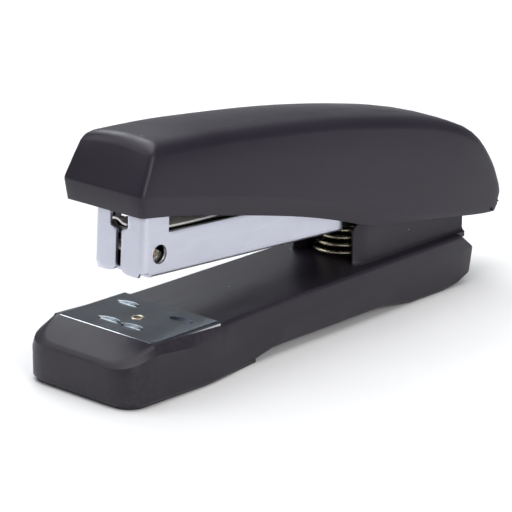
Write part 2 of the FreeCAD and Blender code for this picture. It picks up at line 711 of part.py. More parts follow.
def end_block():
    """Moulded block between the channel's arms: rod socket, spring seat and cross pin."""
    body = new_body("end_block_body")
    side = new_sketch(body, "YZ")
    polygon(side, [
        ("blockFront", "channelFloor+0.4", 0.4), ("channelRear+0.5", "channelFloor+0.4"),
        ("blockRear", "channelFloor+0.4", 1.2), ("blockRear", 1.4, 2.0), ("blockFront", 1.4, 0.5),
    ])
    pad(body, side, "2*channelHalf-2*channelSheet-0.2", centred=True)
    well = new_sketch(body, "XZ", "-blockFront+1")
    circle(well, 0, "rodZ", "2.6")
    pocket(body, well, "16.0")
    socket = new_sketch(body, "XZ", "-blockFront+1")
    circle(socket, 0, "rodZ", "rodRadius+seatFit")
    pocket(body, socket, "20.5")
    cross = new_sketch(body, "YZ")
    circle(cross, -33, 0, "1.22")
    pocket(body, cross, "30", centred=True)
    boss = new_sketch(body, "XY", "channelFloor-1.2")
    circle(boss, 0, "springY-pivotY", "3.4")
    pad(body, boss, "1.7")
    node("end_block", body, in_magazine)
    pin = cylinder("block_pin_rod", "1.2", "2*channelHalf", ("-channelHalf", "-33", "0"), "X")
    node("block_pin", pin, in_magazine)


def pusher():
    """Follower that bears on the last staple: a saddle over the rail, led by the rod."""
    body = new_body("pusher_body")
    section = new_sketch(body, "XZ", "-pusherFront")
    polygon(section, [
        (-6.3, -5.8), (-5.72, -5.8), (-5.72, -0.45), (-1.1, -0.45), (-1.1, -1.45), (-3.2, -1.45),
        (-3.2, -5.35), (3.2, -5.35), (3.2, -1.45), (1.1, -1.45), (1.1, -0.45), (5.72, -0.45),
        (5.72, -5.8), (6.3, -5.8), (6.3, 1.0, 0.5), (-6.3, 1.0, 0.5),
    ])
    pad(body, section, "pusherLength", reverse=True)
    relief = new_sketch(body, "XZ", "-pusherFront+1")
    box_outline(relief, -7, -7, 7, -0.46)
    pocket(body, relief, "5.9")
    bore = new_sketch(body, "XZ", "-pusherFront+1")
    circle(bore, 0, "rodZ", "rodRadius+runFit")
    pocket(body, bore, "30")
    node("pusher", body, in_magazine)


# ---------------------------------------------------------------- return leaf spring
def return_leaf_spring():
    """Bowed strip: its eye is on the pin, and its tip reaches through the driver to the nose."""
    radius = 3.62
    thick = sheet.leafSheet
    flat, tip = 2.3, 3.3
    body = new_body("return_leaf_spring_body")
    side = new_sketch(body, "YZ")
    low = [(-2.0, 2.9), (-12, 3.4, 20), (-44, 8.0, 40), (-76, flat, 60), (-92.5, flat, 4),
           (-95.5, tip, 3), (-99.3, tip)]
    high = [(-99.3, tip + thick), (-95.7, tip + thick, 2.5), (-92.7, flat + thick, 4.5),
            (-76, flat + thick, 60), (-44, 8.0 + thick, 40), (-12, 3.4 + thick, 20),
            (-2.0, 2.9 + thick)]
    polygon(side, low + high)
    pad(body, side, "11.2", centred=True)
    narrow = new_sketch(body, "XY")
    for sign in ("-", ""):
        polygon(narrow, [(sign + "2.0", -100.5), (sign + "2.0", -96.4), (sign + "5.7", -94.6),
                         (sign + "8", -94.6), (sign + "8", -100.5)])
        polygon(narrow, [(sign + "3.0", 2), (sign + "3.0", -8), (sign + "5.7", -13),
                         (sign + "8", -13), (sign + "8", 2)])
    pocket(body, narrow, "60", centred=True)
    eye = cylinder("leaf_eye", str(radius), "6.0", ("-3.0", "0", "0"), "X")
    hole = cylinder("leaf_eye_hole", "3.02", "10", ("-5", "0", "0"), "X")
    node("return_leaf_spring", cut("leaf_cut", fuse("leaf_blank", [body, eye]), [hole]), in_magazine)
    bush = cylinder("leaf_bush_tube", "3.0", "6.4", ("-3.2", "0", "0"), "X")
    bore = cylinder("leaf_bush_bore", "pinRadius+runFit", "10", ("-5", "0", "0"), "X")
    node("leaf_bush", cut("leaf_bush_cut", bush, [bore]), in_magazine)


# ---------------------------------------------------------------- handle


def handle_frame():
    """Steel frame under the cover: a top web, two side walls to the pin and a front tab."""
    body = new_body("handle_frame_body")
    side = new_sketch(body, "YZ")
    polygon(side, [
        ("driverY+0.5*bladeSheet", 7.0), (-53, 0.4, 20), (-29, -4.6, 20), (0, -5.2, 4.4),
        (6.0, -3.0, 3.0), (6.0, 8.0, 4.0), (-14, "frameTop", 30),
        ("driverY+0.5*bladeSheet", "frameTop"),
    ])
    pad(body, side, "2*frameHalf", centred=True)
    inner = new_sketch(body, "YZ")
    polygon(inner, [
        ("driverY+0.5*bladeSheet+0.8", -20), (12, -20), (12, 2),
        (-13, "frameTop-frameSheet", 30), ("driverY+0.5*bladeSheet+0.8", "frameTop-frameSheet"),
    ])
    pocket(body, inner, "2*frameHalf-2*frameSheet", centred=True)
    tab = new_sketch(body, "XZ", "-driverY+2")
    box_outline(tab, "-frameHalf+frameSheet", -5, "frameHalf-frameSheet", 11.0)
    pocket(body, tab, "4.0")
    holes = new_sketch(body, "YZ")
    circle(holes, 0, 0, "pinRadius+runFit")
    for _, y, z in FRAME_PINS:
        circle(holes, y, z, "1.22")
    pocket(body, holes, "40", centred=True)
    screws = new_sketch(body, "XY", "frameTop")
    for y, _ in COVER_SCREWS:
        circle(screws, 0, y, "1.3")
    pocket(body, screws, "4", centred=True)
    rivets = new_sketch(body, "XZ", "-driverY+2")
    for x in BLADE_RIVETS:
        circle(rivets, x, 12.9, "0.92")
    pocket(body, rivets, "6")
    node("handle_frame", body, in_handle)


def driver_blade():
    """Hardened blade that drives one staple, with a window for the leaf spring's tip."""
    body = new_body("driver_blade_body")
    face = new_sketch(body, "XZ", "-driverY+0.5*bladeSheet")
    polygon(face, mirrored([
        ("bladeHalf", "bladeFoot"), ("bladeHalf", "frameTop-0.3", 0.8),
    ]))
    pad(body, face, "bladeSheet", reverse=True)
    window = new_sketch(body, "XZ", "-driverY+2")
    polygon(window, mirrored([(2.6, -1.5, 0.6), (2.6, 9.0, 0.6)]))
    for x in BLADE_RIVETS:
        circle(window, x, 12.9, "0.92")
    pocket(body, window, "4.0")
    node("driver_blade", body, in_handle)
    parts = []
    for i, x in enumerate(BLADE_RIVETS):
        shank = cylinder("blade_shank%d" % i, "0.9", "2.1", (x, "driverY-0.5*bladeSheet-0.3", "12.9"), "Y")
        front = cylinder("blade_head%d" % i, "1.6", "0.5", (x, "driverY-0.5*bladeSheet-0.5", "12.9"), "Y")
        back = cylinder("blade_tail%d" % i, "1.5", "0.5", (x, "driverY+0.5*bladeSheet+0.8", "12.9"), "Y")
        parts.append(fuse("driver_rivet%d" % i, [shank, front, back]))
    node("driver_rivets", group("driver_rivets_group", parts), in_handle)


def leaf_pin():
    """Cross pin of the frame that bears on the bow of the leaf spring."""
    name, y, z = FRAME_PINS[0]
    node(name, cylinder("leaf_pin_rod", "1.2", "2*frameHalf-0.1", ("-frameHalf+0.05", y, z), "X"),
         in_handle)


def cover_profile(body, inset):
    """Side outline of the cover, or of the space inside it."""
    sketch = new_sketch(body, "YZ")
    drop = 12.0 if inset else 0.0
    corners = [
        (-56.4 + inset, 39.4 - drop), (-57.3 + inset, 44.1), (-52.0 + inset, 54.5 - inset, 2.6),
        (-2.8, 52.1 - inset, 400 - inset), (59.2 - inset * 0.6, 38.1 - inset * 0.9, 15 - inset),
        (66.55 - inset, 21.0, 2.6), (62.0 - inset, 15.2 - drop), (17.5, 21.4 - drop),
    ]
    polygon(sketch, corners)
    return sketch


def top_cover():
    """Moulded cover, open below, with screw bosses down to the frame."""
    body = new_body("top_cover_body")
    pad(body, cover_profile(body, 0.0), "2*coverHalf", centred=True)
    soften(body, 2.2, lambda c, b: abs(abs(c.x) - sheet.coverHalf) < 0.01 and b.ZMin > 30
           and (c.z > 45 or c.y > 30))
    pocket(body, cover_profile(body, sheet.coverWall), "2*coverHalf-2*coverWall", centred=True)
    bosses = [
        in_handle(cylinder("cover_boss%d" % i, "2.5", rise, ("0", y, "frameTop")))
        for i, (y, rise) in enumerate(COVER_SCREWS)
    ]
    pilots = [
        in_handle(cylinder("cover_pilot%d" % i, "1.02", "2.3", ("0", y, "frameTop-0.1")))
        for i, (y, _) in enumerate(COVER_SCREWS)
    ]
    node("top_cover", cut("top_cover_cut", fuse("top_cover_blank", [body] + bosses), pilots))


def cover_screws():
    parts = []
    for i, (y, _) in enumerate(COVER_SCREWS):
        head = cylinder("cover_head%d" % i, "2.1", "1.1", ("0", y, "frameTop-frameSheet-1.1"))
        shank = cylinder("cover_shank%d" % i, "1.0", "3.0", ("0", y, "frameTop-frameSheet-0.2"))
        parts.append(fuse("cover_screw%d" % i, [head, shank]))
    node("cover_screws", group("cover_screws_group", parts), in_handle)


# ---------------------------------------------------------------- build, check and write
for make in (
    base_shell, base_plate, plate_screws, front_pad, rear_pad, hinge_bracket, bracket_screws,
    pivot_pin, base_spring, anvil_plate, anvil_post, anvil_spring, magazine_channel,
    staple_rail, rail_fixings, guide_rod, pusher_spring, end_block, pusher, return_leaf_spring,
    handle_frame, driver_blade, leaf_pin, top_cover, cover_screws,
):
    make()
doc.recompute()

for thing in doc.Objects:
    if "Invalid" in thing.State or "Error" in thing.State:
        raise RuntimeError("%s failed to build: %s" % (thing.Label, thing.State))
for name, thing in NODES.items():
    if thing.Shape.isNull() or not thing.Shape.isValid():
        raise RuntimeError("%s has no valid shape" % name)

os.makedirs("parts", exist_ok=True)
for name, thing in NODES.items():
    thing.Shape.exportStep("parts/%s.step" % name)
    box = thing.Shape.BoundBox
    print("%-20s %9.1f mm3  X %6.1f %6.1f  Y %6.1f %6.1f  Z %5.1f %5.1f  %d" % (
        name, thing.Shape.Volume, box.XMin, box.XMax, box.YMin, box.YMax, box.ZMin, box.ZMax,
        len(thing.Shape.Solids)))
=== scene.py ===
import json
import math

import bmesh
import bpy
from mathutils import Matrix, Vector


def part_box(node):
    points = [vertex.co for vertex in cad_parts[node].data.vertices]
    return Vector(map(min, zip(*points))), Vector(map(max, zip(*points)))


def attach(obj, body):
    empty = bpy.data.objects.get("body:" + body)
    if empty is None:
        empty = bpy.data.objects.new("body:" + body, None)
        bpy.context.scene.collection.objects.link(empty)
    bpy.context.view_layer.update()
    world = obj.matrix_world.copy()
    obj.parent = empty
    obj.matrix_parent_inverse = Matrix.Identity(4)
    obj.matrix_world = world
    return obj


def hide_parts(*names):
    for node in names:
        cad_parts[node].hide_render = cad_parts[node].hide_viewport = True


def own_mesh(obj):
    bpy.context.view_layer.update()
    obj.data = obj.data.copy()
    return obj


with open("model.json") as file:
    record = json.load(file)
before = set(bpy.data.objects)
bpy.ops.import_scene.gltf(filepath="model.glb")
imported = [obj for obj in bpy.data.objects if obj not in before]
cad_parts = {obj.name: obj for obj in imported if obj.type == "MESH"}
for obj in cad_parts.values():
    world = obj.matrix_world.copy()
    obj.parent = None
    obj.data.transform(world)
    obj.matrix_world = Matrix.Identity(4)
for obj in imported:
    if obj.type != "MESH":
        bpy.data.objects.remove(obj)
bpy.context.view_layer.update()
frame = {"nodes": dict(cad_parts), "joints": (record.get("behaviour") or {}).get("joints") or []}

# Lengths in the tables below are millimetres, in the row frame: +X is the stapler's right,
# -Y is its nose and +Z is up.  Everything is scaled to metres when its mesh is written.
MM = 0.001

JOINTS = {joint["name"]: joint for joint in frame["joints"]}
PIN = Vector(JOINTS["magazine_press"]["pos_m"])
SLIDE = Vector(JOINTS["pusher_slide"]["axis"])
TILT = math.atan2(SLIDE.z, SLIDE.y)
IN_MAGAZINE = Matrix.Translation(PIN / MM) @ Matrix.Rotation(TILT, 4, "X")
IN_ROW = Matrix.Identity(4)


# ---------------------------------------------------------------- camera, floor and light
def make_camera():
    azimuth, elevation, roll = math.radians(42.6), math.radians(17.62), math.radians(0.15)
    back = Vector((math.sin(azimuth) * math.cos(elevation),
                   -math.cos(azimuth) * math.cos(elevation), math.sin(elevation)))
    side = Vector((math.cos(azimuth), math.sin(azimuth), 0))
    turn = Matrix((side, back.cross(side), back)).transposed() @ Matrix.Rotation(roll, 3, "Z")
    data = bpy.data.cameras.new("camera")
    data.sensor_width, data.lens = 36.0, 181.9
    data.clip_start, data.clip_end = 0.01, 20.0
    camera = bpy.data.objects.new("camera", data)
    camera.matrix_world = Matrix.Translation((0.3737, -0.4162, 0.1934)) @ turn.to_4x4()
    bpy.context.scene.collection.objects.link(camera)
    bpy.context.scene.camera = camera


def area_light(name, place, target, size, watts, colour):
    data = bpy.data.lights.new(name, "AREA")
    data.shape, data.size, data.size_y = "RECTANGLE", size[0], size[1]
    data.energy, data.color = watts, colour
    light = bpy.data.objects.new(name, data)
    light.location = place
    aim = Vector(target) - Vector(place)
    light.rotation_euler = aim.to_track_quat("-Z", "Y").to_euler()
    bpy.context.scene.collection.objects.link(light)


def make_studio():
    scene = bpy.context.scene
    scene.view_settings.view_transform = "Standard"
    world = bpy.data.worlds.new("studio")
    scene.world = world
    world.use_nodes = True
    tree = world.node_tree
    sky = tree.nodes["Background"]
    sky.inputs["Color"].default_value = (0.93, 0.95, 1.0, 1)
    sky.inputs["Strength"].default_value = 0.30
    area_light("overhead_box", (-0.10, 0.05, 0.95), (0, 0, 0), (0.9, 0.9), 7.2, (1, 1, 1))
    area_light("rear_left_box", (-0.62, 0.36, 0.64), (0, -0.03, 0.01), (0.40, 0.40), 2.2, (0.92, 0.97, 1))
    area_light("right_box", (0.95, -0.25, 0.50), (0, 0, 0.02), (0.7, 0.5), 5.5, (1, 0.99, 0.97))
    area_light("front_box", (-0.66, -0.42, 0.70), (0, 0, 0.02), (0.6, 0.5), 1.6, (0.95, 0.97, 1))


# ---------------------------------------------------------------- materials
class Shader:
    """A node material that is built up one texture at a time, in object coordinates."""

    def __init__(self, name):
        self.material = bpy.data.materials.new(name)
        self.material.use_nodes = True
        self.tree = self.material.node_tree
        self.surface = self.tree.nodes["Principled BSDF"]
        self.place = self.tree.nodes.new("ShaderNodeTexCoord").outputs["Object"]

    def node(self, kind, **inputs):
        made = self.tree.nodes.new(kind)
        for name, value in inputs.items():
            self.feed(made.inputs[name.replace("_", " ")], value)
        return made

    def feed(self, socket, value):
        if isinstance(value, bpy.types.NodeSocket):
            self.tree.links.new(value, socket)
        else:
            socket.default_value = value

    def stretched(self, scale):
        made = self.node("ShaderNodeMapping", Vector=self.place)
        made.inputs["Scale"].default_value = scale
        return made.outputs["Vector"]

    def noise(self, scale, detail=2.0, stretch=(1, 1, 1), roughness=0.5):
        made = self.node("ShaderNodeTexNoise", Vector=self.stretched(stretch), Scale=scale,
                         Detail=detail, Roughness=roughness)
        return made.outputs["Fac"]

    def ranged(self, value, low, high, out_low=0.0, out_high=1.0):
        made = self.node("ShaderNodeMapRange", Value=value)
        for name, number in (("From Min", low), ("From Max", high),
                             ("To Min", out_low), ("To Max", out_high)):
            made.inputs[name].default_value = number
        return made.outputs["Result"]

    def mixed(self, share, first, second):
        made = self.node("ShaderNodeMix")
        made.data_type = "RGBA"
        self.feed(made.inputs[0], share)
        self.feed(made.inputs[6], first)
        self.feed(made.inputs[7], second)
        return made.outputs[2]

    def product(self, first, second):
        made = self.node("ShaderNodeMath")
        made.operation = "MULTIPLY"
        self.feed(made.inputs[0], first)
        self.feed(made.inputs[1], second)
        return made.outputs[0]

    def specks(self, scale, size, share):
        """Small round spots in a random share of the cells."""
        cells = self.node("ShaderNodeTexVoronoi", Vector=self.place, Scale=scale)
        near = self.ranged(cells.outputs["Distance"], size, size * 0.6)
        parts = self.node("ShaderNodeSeparateColor", Color=cells.outputs["Color"])
        chosen = self.ranged(parts.outputs["Red"], 1 - share, 1 - share + 0.01)
        return self.product(near, chosen)

    def edges(self, low, high):
        """One along convex edges, and none on flat faces."""
        shape = self.node("ShaderNodeNewGeometry")
        return self.ranged(shape.outputs["Pointiness"], low, high)

    def bump(self, height, strength, distance, before=None):
        made = self.node("ShaderNodeBump", Height=height)
        made.inputs["Strength"].default_value = strength
        made.inputs["Distance"].default_value = distance
        if before is not None:
            self.feed(made.inputs["Normal"], before)
        return made.outputs["Normal"]

    def set(self, **inputs):
        for name, value in inputs.items():
            self.feed(self.surface.inputs[name.replace("_", " ")], value)
        return self.material


def rgb(red, green, blue):
    return (red, green, blue, 1.0)


def moulded_plastic(name, colour, roughness, dust):
    """Satin moulded plastic: fine spark texture, faint cloudiness, dust, and convex edges lightened
    partly as rubbed wear and partly as a painted highlight.
    """
    shader = Shader(name)
    clouds = shader.noise(55, 3.0)
    dark = rgb(*[channel * 0.86 for channel in colour])
    light = rgb(*[channel * 1.16 for channel in colour])
    tone = shader.mixed(shader.ranged(clouds, 0.3, 0.7), dark, light)
    # Convex edges are lightened towards a much paler tone: partly rubbed wear, partly a painted highlight
    # along the edges.
    rubbed_and_highlit = shader.product(shader.edges(0.52, 0.60), shader.ranged(shader.noise(900, 2.0), 0.35, 0.7))
    worn_and_highlit = rgb(*[channel * 2.6 + 0.01 for channel in colour])
    tone = shader.mixed(shader.product(rubbed_and_highlit, 0.5), tone, worn_and_highlit)
    tone = shader.mixed(shader.specks(190, 0.045, dust), tone, rgb(0.30, 0.29, 0.20))
    scuffs = shader.ranged(shader.noise(260, 4.0, (1, 0.25, 1)), 0.45, 0.75, 0.0, 0.07)
    rough = shader.node("ShaderNodeMath")
    shader.feed(rough.inputs[0], shader.ranged(clouds, 0.3, 0.7, roughness - 0.04, roughness + 0.04))
    shader.feed(rough.inputs[1], scuffs)
    spark = shader.bump(shader.noise(5200, 2.0), 0.10, 0.00005)
    waves = shader.bump(shader.noise(70, 1.0), 0.05, 0.0004, spark)
    return shader.set(Base_Color=tone, Roughness=rough.outputs[0], Normal=waves,
                      Specular_IOR_Level=0.36)


def rolled_metal(name, colour, roughness, grain=(1, 0.06, 1), contrast=0.10, pits=0.10, edge=1.25,
                 metallic=1.0):
    """Bare or plated sheet: rolling lines, small pits, faint stains, and convex edges brightened partly
    as polished wear and partly as a painted highlight.
    """
    shader = Shader(name)
    lines = shader.noise(2600, 3.0, grain)
    stains = shader.noise(120, 4.0)
    dark = rgb(*[channel * (1 - contrast) for channel in colour])
    bright = rgb(*[min(channel * (1 + contrast), 1.0) for channel in colour])
    tone = shader.mixed(shader.ranged(stains, 0.35, 0.65), dark, bright)
    # Convex edges are brightened by the edge factor: partly polished wear, partly a painted highlight.
    polished_and_highlit = rgb(*[min(channel * edge, 1.0) for channel in colour])
    tone = shader.mixed(shader.edges(0.53, 0.62), tone, polished_and_highlit)
    pitted = rgb(*[channel * 0.55 for channel in colour])
    tone = shader.mixed(shader.specks(700, 0.05, pits), tone, pitted)
    rough = shader.node("ShaderNodeMath")
    shader.feed(rough.inputs[0], shader.ranged(lines, 0.3, 0.7, roughness * 0.8, roughness * 1.2))
    shader.feed(rough.inputs[1], shader.ranged(stains, 0.4, 0.8, 0.0, 0.06))
    relief = shader.bump(lines, 0.06, 0.00004)
    return shader.set(Base_Color=tone, Metallic=metallic, Roughness=rough.outputs[0], Normal=relief)


def rubber(name, colour):
    shader = Shader(name)
    grain = shader.noise(1800, 4.0)
    dusty = shader.ranged(shader.noise(90, 3.0), 0.35, 0.75)
    tone = shader.mixed(dusty, rgb(*colour), rgb(*[channel * 1.9 for channel in colour]))
    return shader.set(Base_Color=tone, Roughness=shader.ranged(grain, 0.3, 0.7, 0.72, 0.92),
                      Normal=shader.bump(grain, 0.3, 0.0001))


def pale_floor(name):
    shader = Shader(name)
    paper = shader.noise(18, 3.0)
    tone = shader.mixed(shader.ranged(paper, 0.3, 0.7), rgb(0.90, 0.90, 0.905), rgb(0.93, 0.93, 0.93))
    return shader.set(Base_Color=tone, Roughness=0.75,
                      Normal=shader.bump(shader.noise(900, 2.0), 0.05, 0.0002))


CHARCOAL = moulded_plastic("charcoal_moulding", (0.0135, 0.0095, 0.0180), 0.36, 0.30)
CHARCOAL_BASE = moulded_plastic("charcoal_base_moulding", (0.0150, 0.0115, 0.0180), 0.37, 0.30)
NYLON = moulded_plastic("black_nylon_moulding", (0.012, 0.012, 0.013), 0.48, 0.05)
NICKEL = rolled_metal("nickel_plate", (0.565, 0.575, 0.655), 0.34, contrast=0.03, pits=0.05)
STEEL = rolled_metal("bare_steel_sheet", (0.50, 0.50, 0.51), 0.36)
# Darker steel. On the driver blade and its rivets this darkness is painted shade, standing for the shade
# under the cover.
DARK_STEEL = rolled_metal("darkened_steel", (0.30, 0.30, 0.30), 0.40)
# The edge factor of 1.6 strongly brightens the plate's rounded bend, a painted highlight.
CHROME = rolled_metal("dark_chrome", (0.185, 0.210, 0.235), 0.12, (1, 1, 1), 0.06, 0.12, 1.6)
# Near-white sheet metal: on the plate's cut rim it is a bright sheared edge; on the bent-down sides and
# front strip of the dark chrome plate it is a painted reflection.
SHEARED_EDGE_AND_PAINTED_REFLECTION = rolled_metal("sheared_edge_and_painted_reflection", (0.90, 0.90, 0.93), 0.30, pits=0.02)
BRASS = rolled_metal("brass_post", (0.66, 0.55, 0.40), 0.26, (1, 1, 1))
EYELET = rolled_metal("eyelet_metal", (0.74, 0.68, 0.58), 0.30, (1, 1, 1))
# Pale, hardly metallic strip: the pale colour is a painted reflection, standing for the white background
# that the steel strip reflects.
LEAF_PALE_PAINTED_REFLECTION = rolled_metal("leaf_spring_strip", (0.93, 0.86, 0.80), 0.45, contrast=0.05, metallic=0.15)
GOLD_WIRE = rolled_metal("straw_spring_wire", (0.74, 0.68, 0.50), 0.24, (1, 1, 1))
PALE_WIRE = rolled_metal("pale_spring_wire", (0.62, 0.61, 0.58), 0.28, (1, 1, 1))
RUBBER = rubber("sole_rubber", (0.030, 0.029, 0.028))


# ---------------------------------------------------------------- mesh helpers
def to_object(name, bm, place, materials):
    """The bmesh, drawn in millimetres in the given place, as an object in metres."""
    bm.transform(Matrix.Scale(MM, 4) @ place)
    bmesh.ops.recalc_face_normals(bm, faces=bm.faces)
    mesh = bpy.data.meshes.new(name)
    bm.to_mesh(mesh)
    bm.free()
    thing = bpy.data.objects.new(name, mesh)
    bpy.context.scene.collection.objects.link(thing)
    for material in materials:
        mesh.materials.append(material)
    return thing


def settled(thing, sharp=35.0):
    """Applies the modifiers, and shades the result smooth but for its sharp edges."""
    view = bpy.context.evaluated_depsgraph_get()
    mesh = bpy.data.meshes.new_from_object(thing.evaluated_get(view))
    thing.modifiers.clear()
    thing.data = mesh
    mesh.name = thing.name
    mesh.shade_smooth()
    mesh.set_sharp_from_angle(angle=math.radians(sharp))
    return thing


def carried(thing, body, slot, *nodes):
    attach(thing, body)
    if nodes:
        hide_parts(*nodes)
    return thing


def angle_bevel(thing, width, segments=2, angle=40.0):
    bevel = thing.modifiers.new("edges", "BEVEL")
    bevel.width, bevel.segments = width * MM, segments
    bevel.limit_method, bevel.angle_limit = "ANGLE", math.radians(angle)


def weight_bevel(thing, width, segments):
    bevel = thing.modifiers.new("rounding", "BEVEL")
    bevel.width, bevel.segments = width * MM, segments
    bevel.limit_method, bevel.use_clamp_overlap = "WEIGHT", False


def shell(thing, thickness, rim=0, even=True):
    wall = thing.modifiers.new("wall", "SOLIDIFY")
    wall.thickness, wall.offset = thickness * MM, -1.0
    wall.use_even_offset = even
    wall.material_offset_rim = rim


def weigh(bm, edge, weight):
    edge[bm.edges.layers.float.get("bevel_weight_edge")] = weight


def refined(node, body, slot, material, width):
    """A finished copy of a rigid CAD node: clean flat faces, and every edge rounded over."""
    bm = bmesh.new()
    bm.from_mesh(frame["nodes"][node].data)
    bmesh.ops.remove_doubles(bm, verts=bm.verts, dist=2e-6)
    bmesh.ops.dissolve_limit(bm, angle_limit=math.radians(1.5), verts=bm.verts, edges=bm.edges)
    bm.transform(Matrix.Scale(1 / MM, 4))
    thing = to_object(node + "_finished", bm, IN_ROW, [material])
    angle_bevel(thing, width)
    return carried(settled(thing), body, slot, node)


def rail(points):
    """A smooth curve through the points: any number of values against the first one."""
    def at(position):
        if position <= points[0][0]:
            return points[0][1:]
        if position >= points[-1][0]:
            return points[-1][1:]
        k = next(i for i in range(len(points) - 1) if points[i + 1][0] >= position)
        (start, *_), (end, *_) = points[k], points[k + 1]
        t = (position - start) / (end - start)
        values = []
        for i in range(1, len(points[0])):
            slopes = []
            for j in (k, k + 1):
                low, high = points[max(j - 1, 0)], points[min(j + 1, len(points) - 1)]
                here = points[j]
                before = (here[i] - low[i]) / (here[0] - low[0]) if here is not low else None
                after = (high[i] - here[i]) / (high[0] - here[0]) if here is not high else None
                if before is None or after is None:
                    slopes.append(after if before is None else before)
                else:
                    slopes.append(0.0 if before * after <= 0 else 2 * before * after / (before + after))
            a, b, width = points[k][i], points[k + 1][i], end - start
            values.append(
                a * (2 * t ** 3 - 3 * t ** 2 + 1) + b * (3 * t ** 2 - 2 * t ** 3)
                + width * (slopes[0] * (t ** 3 - 2 * t ** 2 + t) + slopes[1] * (t ** 3 - t ** 2)))
        return values
    return at


def arc(start, corner, end, steps):
    """Points of a rounded corner, as a quadratic curve."""
    points = []
    for i in range(steps + 1):
        t = i / steps
        points.append(tuple((1 - t) ** 2 * a + 2 * t * (1 - t) * b + t * t * c
                            for a, b, c in zip(start, corner, end)))
    return points


def lathe(name, profile, material, centre, axis, segments=48):
    """A solid of revolution: (radius, height) points turned about an axis through the centre."""
    bm = bmesh.new()
    rings = []
    for radius, height in profile:
        if radius < 1e-6:
            rings.append([bm.verts.new((0, 0, height))])
        else:
            rings.append([bm.verts.new((radius * math.cos(math.tau * i / segments),
                                        radius * math.sin(math.tau * i / segments), height))
                          for i in range(segments)])
    for low, high in zip(rings, rings[1:]):
        for i in range(segments):
            j = (i + 1) % segments
            loop = [low[i % len(low)], low[j % len(low)], high[j % len(high)], high[i % len(high)]]
            bm.faces.new(list(dict.fromkeys(loop)))
    turn = Vector(axis).to_track_quat("Z", "Y").to_matrix().to_4x4()
    return to_object(name, bm, Matrix.Translation(centre) @ turn, [material])


def wire(name, path, radius, material, place=IN_ROW, sides=12):
    """A round wire along a path of points, with domed ends."""
    bm = bmesh.new()
    rings = []
    count = len(path)
    normal = None
    for k, point in enumerate(path):
        ahead = (path[min(k + 1, count - 1)] - path[max(k - 1, 0)]).normalized()
        if normal is None:
            normal = ahead.orthogonal().normalized()
        normal = (normal - ahead * normal.dot(ahead)).normalized()
        other = ahead.cross(normal)
        rings.append([bm.verts.new(point + radius * (math.cos(math.tau * i / sides) * normal
                                                     + math.sin(math.tau * i / sides) * other))
                      for i in range(sides)])
    for low, high in zip(rings, rings[1:]):
        for i in range(sides):
            j = (i + 1) % sides
            bm.faces.new((low[i], low[j], high[j], high[i]))
    for ring, neighbour in ((rings[0], path[0] - path[1]), (rings[-1], path[-1] - path[-2])):
        centre = sum((v.co for v in ring), Vector()) / sides
        tip = bm.verts.new(centre + neighbour.normalized() * radius * 0.5)
        for i in range(sides):
            bm.faces.new((ring[i], ring[(i + 1) % sides], tip))
    return to_object(name, bm, place, [material])


def helix(turns, low_radius, high_radius, rise, closed=0.0, steps=32):
    """Points of a coil about +Z; the share of the turns at each end that lies flat is closed."""
    points = []
    total = int(turns * steps)
    for k in range(total + 1):
        t = k / total
        lift = t
        if closed:
            lift = min(max((t - closed) / (1 - 2 * closed), 0.0), 1.0)
        radius = low_radius + (high_radius - low_radius) * t
        turn = math.tau * turns * t
        points.append(Vector((radius * math.cos(turn), radius * math.sin(turn), rise * lift)))
    return points


